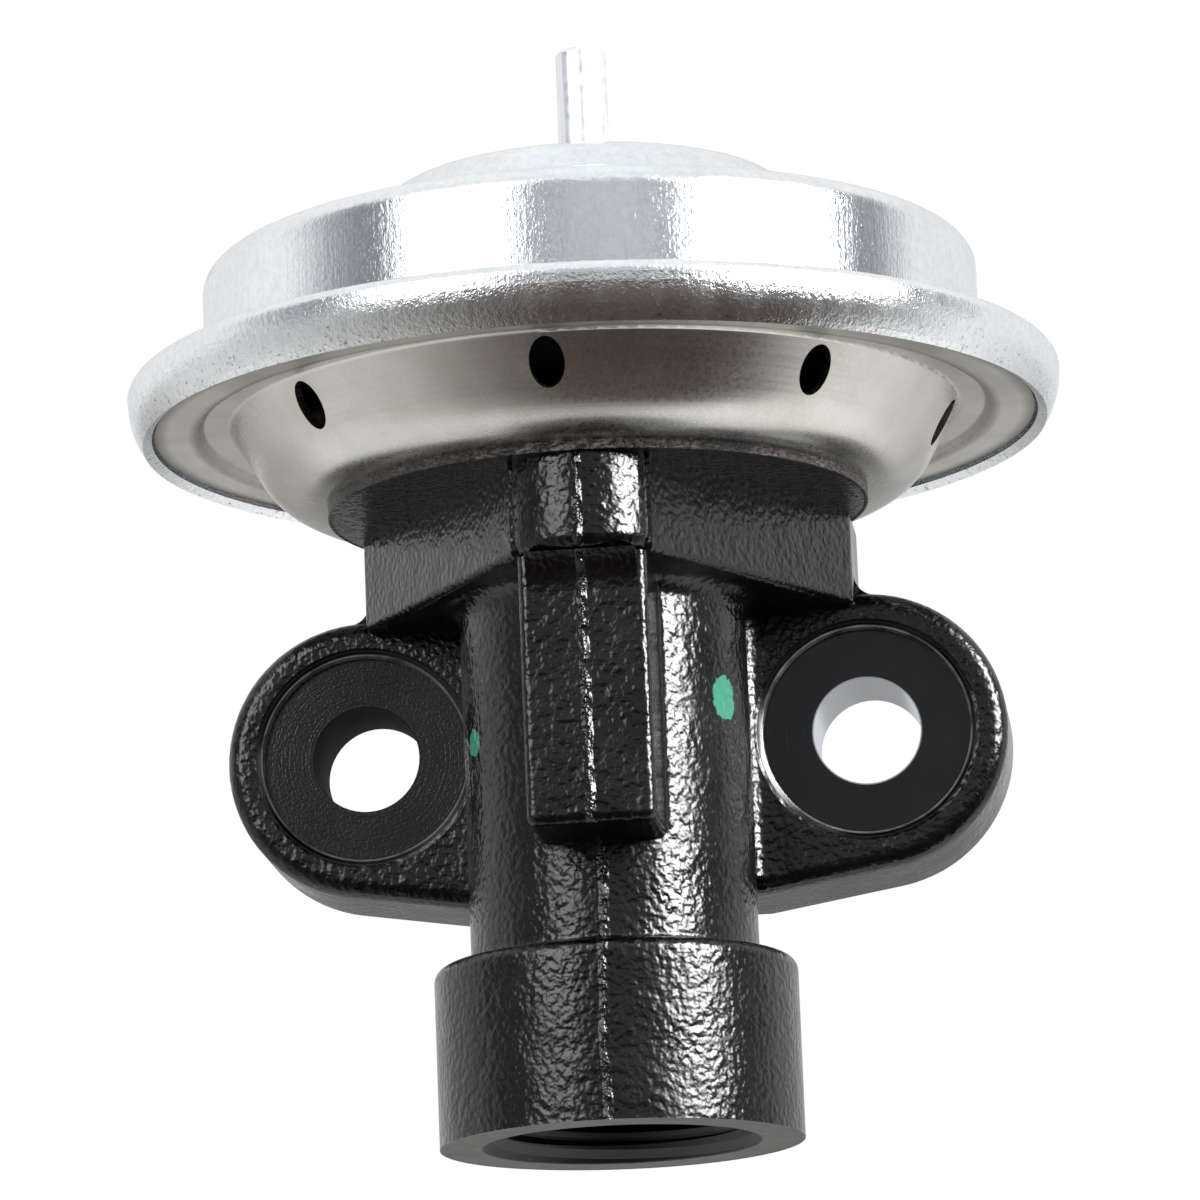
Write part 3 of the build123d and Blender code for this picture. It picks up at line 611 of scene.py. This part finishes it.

# %% [markdown]
# ## Diaphragm
# The diaphragm is fabric dipped in rubber. Its bead is clamped in the rim, its middle
# between the two pistons, and the fold between them rolls as the stem lifts. A spun
# section gives its shape. It is made in two pieces that meet on the fold's crest: the
# outer one stays with the can, and the inner one is attached to no body.
# The cloth's weave shows through the rubber as rows of small cells.

# %% Rubber
weave_spacing, weave_depth = 0.5, 0.05
light_rubber, dark_rubber = (0.05, 0.049, 0.048), (0.022, 0.022, 0.024)
rubber = Finish("fabric_rubber", (0.028, 0.028, 0.03), 0.0, 0.55)
cells = {"Vector": rubber.place, "Scale": 1 / (weave_spacing * mm), "Randomness": 0.35}
weave = rubber.add("ShaderNodeTexVoronoi", cells).outputs["Distance"]
dusty = rubber.ramp(rubber.noise(4, detail=4.0), 0.35, 0.7)
rubber.vary("Base Color", rubber.mix(dusty, dark_rubber, light_rubber))
rubber.vary("Roughness", rubber.ramp(rubber.noise(1.5), 0.3, 0.7, 0.45, 0.65))
rubber.bump(weave, weave_depth)
print("rubber weave", weave_spacing, "mm")

# %% [markdown]
# The section is the rubber's middle line, moved to either side by half its thickness. A
# line has a flat, a bend and a quarter of the fold, and each round stretch is an arc, so
# a line moved sideways keeps its shape.

# %% The diaphragm's lines
rubber_half = 0.4
stem_radius, flat_z, edge_z = 2.5, 66.7, 69.4
leg_in, leg_out, arch_top = 26.3, 34.4, 76.1
corner, edge_corner = 2.7, 0.9
bead_in, bead_out, bead_low, bead_high = 38.2, 40.7, 68.0, 70.8
arch_radius = (leg_out - leg_in) / 2
fold_center = (leg_in + arch_radius, arch_top - arch_radius)


def arc(center, radius, first, last, steps=14):
    """Points on a circle from one angle to another, in degrees."""
    angles = [radians(first + (last - first) * step / steps) for step in range(steps + 1)]
    return [(center[0] + radius * cos(a), center[1] + radius * sin(a)) for a in angles]


def inner_line(offset):
    """The line from the stem to the fold's crest, moved sideways by offset."""
    flat = [(stem_radius, flat_z + offset), (leg_in - corner, flat_z + offset)]
    bend = arc((leg_in - corner, flat_z + corner), corner - offset, -90, 0)[1:]
    return flat + bend + arc(fold_center, arch_radius + offset, 180, 90)


def outer_line(offset):
    """The line from the fold's crest to the bead, moved sideways by offset."""
    bend = arc((leg_out + edge_corner, edge_z + edge_corner), edge_corner - offset, 180, 270)
    return arc(fold_center, arch_radius + offset, 90, 0) + bend


print("fold", round(2 * arch_radius, 1), "mm wide, crest at", arch_top, "mm")

# %% Diaphragm in two pieces
diaphragm_steps = 120
inner_section = inner_line(-rubber_half) + inner_line(rubber_half)[::-1]
inner_form = swept(inner_section, 1, diaphragm_steps)
diaphragm_inner = finished("diaphragm_inner", inner_form, rubber)
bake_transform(diaphragm_inner)
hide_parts("diaphragm")

bead = [(bead_in, bead_low), (bead_out, bead_low), (bead_out, bead_high), (bead_in, bead_high)]
outer_section = outer_line(-rubber_half) + bead + outer_line(rubber_half)[::-1]
outer_form = swept(outer_section, 1, diaphragm_steps)
diaphragm_outer = finished("diaphragm_outer", outer_form, rubber, "valve")
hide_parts("diaphragm")

# %% [markdown]
# ## Floor
# A pale floor lies under the collar. The camera is lower than the collar's end and looks
# up at the valve, so the floor must not stand in its way: its underside is clear, its top
# is pale, and it fades out far from the valve. Only the camera sees it, so it puts no
# light or reflection on the valve, and it keeps the valve's shadow.

# %% Pale floor
floor_size, floor_drop = 4.0, 0.02 * mm
fade_start, fade_end = 0.12, 0.6
floor_form = bmesh.new()
bmesh.ops.create_grid(floor_form, x_segments=1, y_segments=1, size=floor_size / 2)
bmesh.ops.translate(floor_form, verts=floor_form.verts, vec=(0, 0, -floor_drop))
floor_mesh = bpy.data.meshes.new("floor")
floor_form.to_mesh(floor_mesh)
floor_form.free()
floor = bpy.data.objects.new("floor", floor_mesh)
bpy.context.scene.collection.objects.link(floor)

pale_floor = Finish("pale_floor", (0.86, 0.86, 0.86), 0.0, 0.9)
x, y, z = pale_floor.axes()
underside = pale_floor.add("ShaderNodeNewGeometry").outputs["Backfacing"]
not_seen = pale_floor.less(1.0, pale_floor.add("ShaderNodeLightPath").outputs["Is Camera Ray"])
far_away = pale_floor.ramp(pale_floor.radius(x, y), fade_start, fade_end)
see_through = pale_floor.either(pale_floor.either(underside, not_seen), far_away)
clear = pale_floor.add("ShaderNodeBsdfTransparent").outputs[0]
surfaces = {0: see_through, 1: pale_floor.shader.outputs[0], 2: clear}
one_sided = pale_floor.add("ShaderNodeMixShader", surfaces).outputs[0]
pale_floor.feed(pale_floor.tree.nodes["Material Output"].inputs["Surface"], one_sided)
floor_mesh.materials.append(pale_floor.material)
print("floor", floor_size, "m wide")

# %% [markdown]
# ## Lamps
# A large soft box stands at the right and a dimmer one at the left. They light the colours
# at a plain level. A soft box is brighter in its middle than at its rim, and gloss paint
# shows that as a white core in each highlight. So each box has a core, a smaller and much
# brighter lamp just in front of it, that only reflections see. If the cores lit the
# colours too, they would bleach them.

# %% Soft boxes
valve_middle = Vector((0, 0, 50 * mm))


def soft_lamp(name, azimuth, elevation, distance, width, height, radiance, gloss_only=False):
    """A soft box that faces the valve; radiance is its brightness, where 1 is white."""
    side, rise = radians(azimuth), radians(elevation)
    outward = Vector((sin(side) * cos(rise), -cos(side) * cos(rise), sin(rise)))
    data = bpy.data.lights.new(name, "AREA")
    data.shape = "RECTANGLE"
    data.size, data.size_y = width, height
    data.energy = radiance * pi * width * height
    lamp = bpy.data.objects.new(name, data)
    lamp.location = valve_middle + outward * distance
    lamp.rotation_euler = outward.to_track_quat("Z", "Y").to_euler()
    lamp.visible_diffuse = not gloss_only
    bpy.context.scene.collection.objects.link(lamp)
    print(name, "at", [round(c, 2) for c in lamp.location])


right_side, left_side = 58, -33
soft_lamp("right_box", right_side, 24, 0.75, 0.54, 0.54, 5.6)
soft_lamp("right_core", right_side, 22, 0.73, 0.3, 0.42, 29.0, gloss_only=True)
soft_lamp("left_box", left_side, 24, 0.75, 0.44, 0.54, 1.3)
soft_lamp("left_core", left_side, 22, 0.73, 0.26, 0.42, 3.6, gloss_only=True)

# %% [markdown]
# ## The room that metal reflects
# Bright metal shows the room and little else. A room could be built of walls, but each
# would throw shade as well. So the room is painted on the world, by direction: three
# colour ramps run round it at different heights, and one plain colour each lies straight
# below, high up and overhead. Directions are told apart by their azimuth, which is the
# angle round the upright axis, and by the sine of their elevation.

# %% Helpers for the room
world = bpy.data.worlds.new("studio")
world.use_nodes = True
bpy.context.scene.world = world
room = Wiring(world.node_tree)
direction = room.add("ShaderNodeTexCoord").outputs["Generated"]
split = room.add("ShaderNodeSeparateXYZ", {0: direction})

# The azimuth is 0 behind, 0.25 at the left, 0.5 in front and 0.75 at the right
azimuth = room.math("ARCTAN2", room.times(split.outputs[0], -1.0), split.outputs[1])
azimuth = room.math("FRACT", room.math("DIVIDE", azimuth, 2 * pi))


def above(height, softness):
    """1 for directions that rise more than this sine of their elevation, and 0 below."""
    return room.ramp(split.outputs[2], height - softness, height + softness)


def round_the_room(stops):
    """Colours round the room, from stops of degrees right of the front and a colour."""
    node = room.add("ShaderNodeValToRGB", {0: azimuth})
    ramp = node.color_ramp
    for index, (angle, color) in enumerate(stops):
        place = 0.5 + angle / 360
        key = ramp.elements[index] if index < 2 else ramp.elements.new(place)
        key.position = place
        key.color = (*color, 1)
    return node.outputs[0]


print("the room is painted by azimuth and height")

# %% [markdown]
# The band is what the can's upright wall reflects: white screens, with dim gaps between
# them. The rim's round edge reflects the skirt, and the bowl under it reflects the low
# front, so both of these darken to brown in front, where an unlit bench would stand.

# %% Colours round the room
white, pale, light = (1, 1, 1), (0.8, 0.82, 0.84), (0.82, 0.82, 0.81)
dim, dusk = (0.27, 0.28, 0.3), (0.58, 0.6, 0.63)
brown, bench, shade, wall = (0.07, 0.053, 0.045), (0.11, 0.09, 0.078), (0.45, 0.44, 0.42), (0.4, 0.405, 0.4)
band = round_the_room(
    [
        (-180, pale),
        (-92, white),
        (-76, (0.42, 0.44, 0.47)),
        (-67, dim),
        (-52, dim),
        (-49, white),
        (-18, white),
        (-15, dim),
        (0, dusk),
        (24, dusk),
        (37, dim),
        (41, white),
        (75, white),
        (79, dim),
        (94, dim),
        (105, (0.45, 0.46, 0.48)),
        (113, white),
        (180, pale),
    ]
)
skirt = round_the_room(
    [
        (-180, wall),
        (-140, shade),
        (-112, light),
        (-90, (0.7, 0.7, 0.69)),
        (-66, (0.58, 0.58, 0.57)),
        (-56, (0.5, 0.5, 0.49)),
        (-36, (0.2, 0.195, 0.185)),
        (-6, bench),
        (56, bench),
        (84, (0.3, 0.295, 0.29)),
        (104, white),
        (132, light),
        (180, wall),
    ]
)
low_front = round_the_room(
    [
        (-180, light),
        (-100, white),
        (-74, (0.72, 0.715, 0.69)),
        (-54, shade),
        (-14, brown),
        (66, brown),
        (77, (0.3, 0.29, 0.28)),
        (87, (1.1, 1.1, 1.08)),
        (104, (1.25, 1.25, 1.24)),
        (140, (1.15, 1.15, 1.14)),
        (180, light),
    ]
)
print("three bands of colour round the room")

# %% [markdown]
# The room is stacked from below: each zone covers all that lies above its height, with a
# soft border. Each kind of ray then gets its own world. A mirrored ray meets the room, a
# scattered one meets an even soft light, and the camera sees plain white behind the valve.

# %% The world for each kind of ray
straight_down, overhead = (0.52, 0.505, 0.48), (1.04, 1.09, 1.11)
zones = (
    (-0.982, 0.017, low_front),
    (-0.45, 0.12, skirt),
    (0.05, 0.03, band),
    (0.6, 0.1, white),
    (0.93, 0.05, overhead),
)
seen_by_metal = straight_down
for height, softness, zone in zones:
    seen_by_metal = room.mix(above(height, softness), seen_by_metal, zone)

rays = room.add("ShaderNodeLightPath").outputs
soft_light = (0.45, 0.45, 0.45)
mirrored = room.either(rays["Is Glossy Ray"], rays["Is Transmission Ray"])
seen = room.mix(mirrored, soft_light, seen_by_metal)
seen = room.mix(rays["Is Camera Ray"], seen, white)
room.feed(room.tree.nodes["Background"].inputs["Color"], seen)
bpy.context.scene.view_settings.view_transform = "Standard"
print("world made of", len(room.tree.nodes), "nodes")

# %% [markdown]
# ## Camera
# The camera stands in front, a little to the right and below the collar, with a long
# lens. Its place is a real distance in millimetres, and its lens gives the picture's
# scale over a sensor 36 mm wide. Its three axes are worked out from its yaw, its pitch
# and its roll, because together they are its rotation matrix.

# %% Camera
camera_place = Vector((59.407, -620.88, -87.18)) * mm
camera_yaw, camera_pitch, camera_roll = radians(-5.48), radians(12.471), radians(-2.226)
picture_width, focal_pixels, sensor_width = 1200, 6905.1, 36.0
camera_data = bpy.data.cameras.new("camera")
camera_data.sensor_width = sensor_width
camera_data.lens = focal_pixels / picture_width * sensor_width
camera = bpy.data.objects.new("camera", camera_data)
bpy.context.scene.collection.objects.link(camera)
level_ahead = Vector((sin(camera_yaw), cos(camera_yaw), 0))
ahead = level_ahead * cos(camera_pitch) + Vector((0, 0, sin(camera_pitch)))
level_right = Vector((cos(camera_yaw), -sin(camera_yaw), 0))
level_up = level_right.cross(ahead)
right = level_right * cos(camera_roll) + level_up * sin(camera_roll)
up = level_up * cos(camera_roll) - level_right * sin(camera_roll)
turn = Matrix((right, up, -ahead)).transposed()
camera.matrix_world = Matrix.Translation(camera_place) @ turn.to_4x4()
bpy.context.scene.camera = camera
print("lens", round(camera_data.lens, 1), "mm")

# %% [markdown]
# ## Last step
# The view layer is brought up to date.

# %% Finish
bpy.context.view_layer.update()
